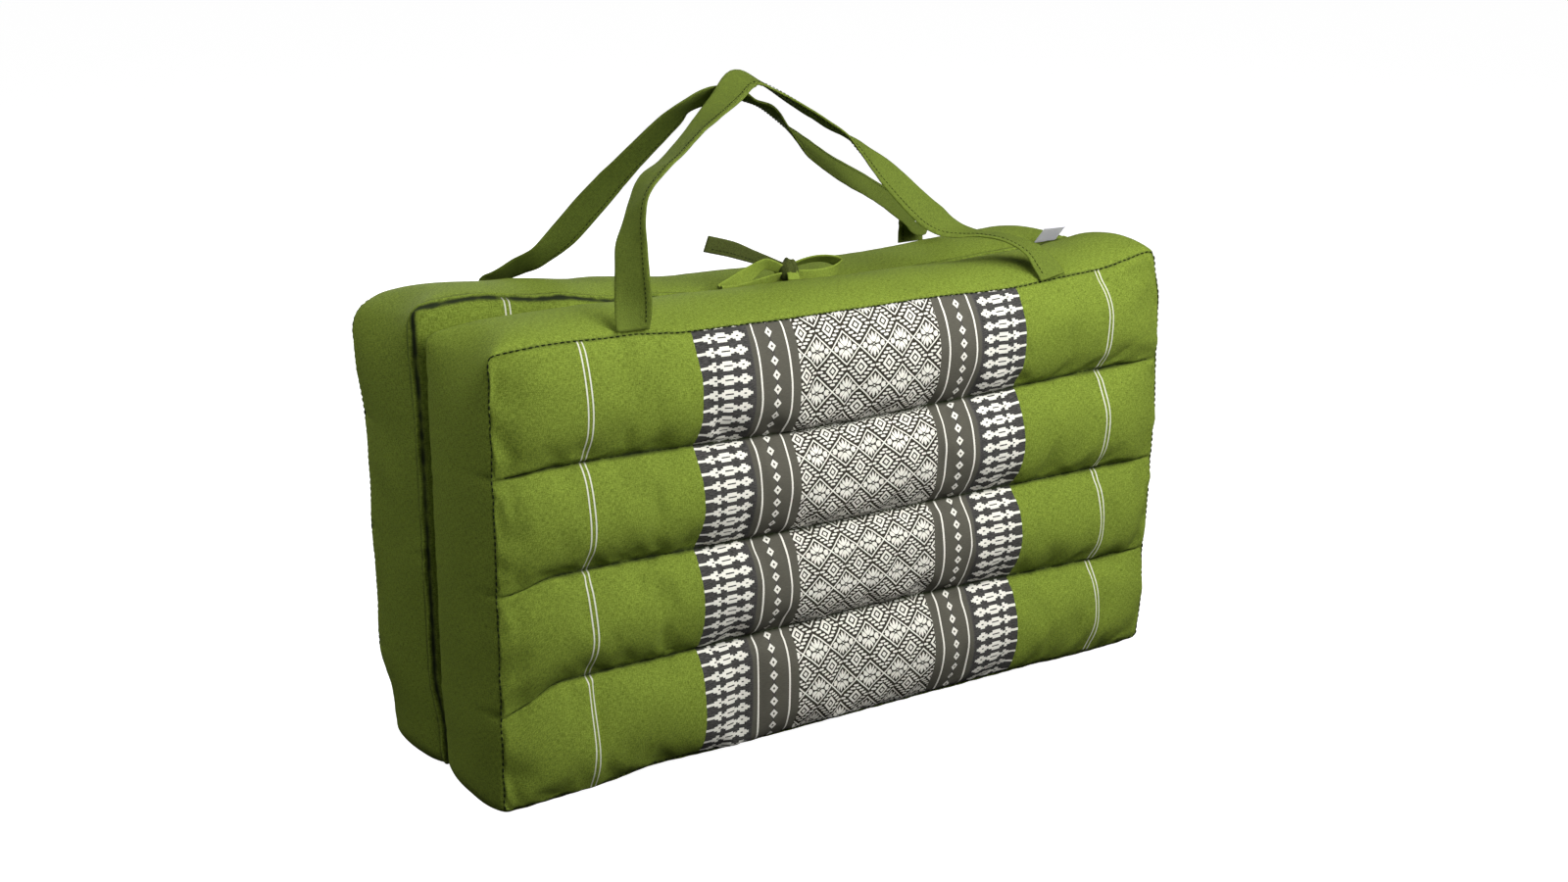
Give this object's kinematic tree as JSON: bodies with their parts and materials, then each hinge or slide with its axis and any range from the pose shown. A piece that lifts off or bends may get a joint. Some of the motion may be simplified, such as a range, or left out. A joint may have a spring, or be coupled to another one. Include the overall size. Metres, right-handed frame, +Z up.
{
  "type": "foldable yoga mat",
  "caption": "Channel-sewn filled cloth blocks folded together and standing on their long edge, with flat carrying straps that meet overhead and a tied bow on the open edge.",
  "frame": {"origin": "on the floor, under the middle of the folded mat", "axes": "+X along the mat's long side, +Z up, -Y towards the near block's banded face"},
  "size_m": [0.6147, 0.2311, 0.4922],
  "materials": {
    "green_cloth": "plain-woven green cotton with a woven cream and charcoal band across the faces",
    "strap_cloth": "the same green cotton, folded and stitched flat",
    "label_satin": "plain white satin tape, blank"
  },
  "bodies": {
    "root": {"block_front": "green_cloth", "block_back": "green_cloth", "fold_hinge": "green_cloth", "strap_front": "strap_cloth", "strap_back": "strap_cloth", "tie_front": "strap_cloth", "tie_back": "strap_cloth", "tie_bow": "strap_cloth", "blank_label": "label_satin"}
  },
  "joints": []
}
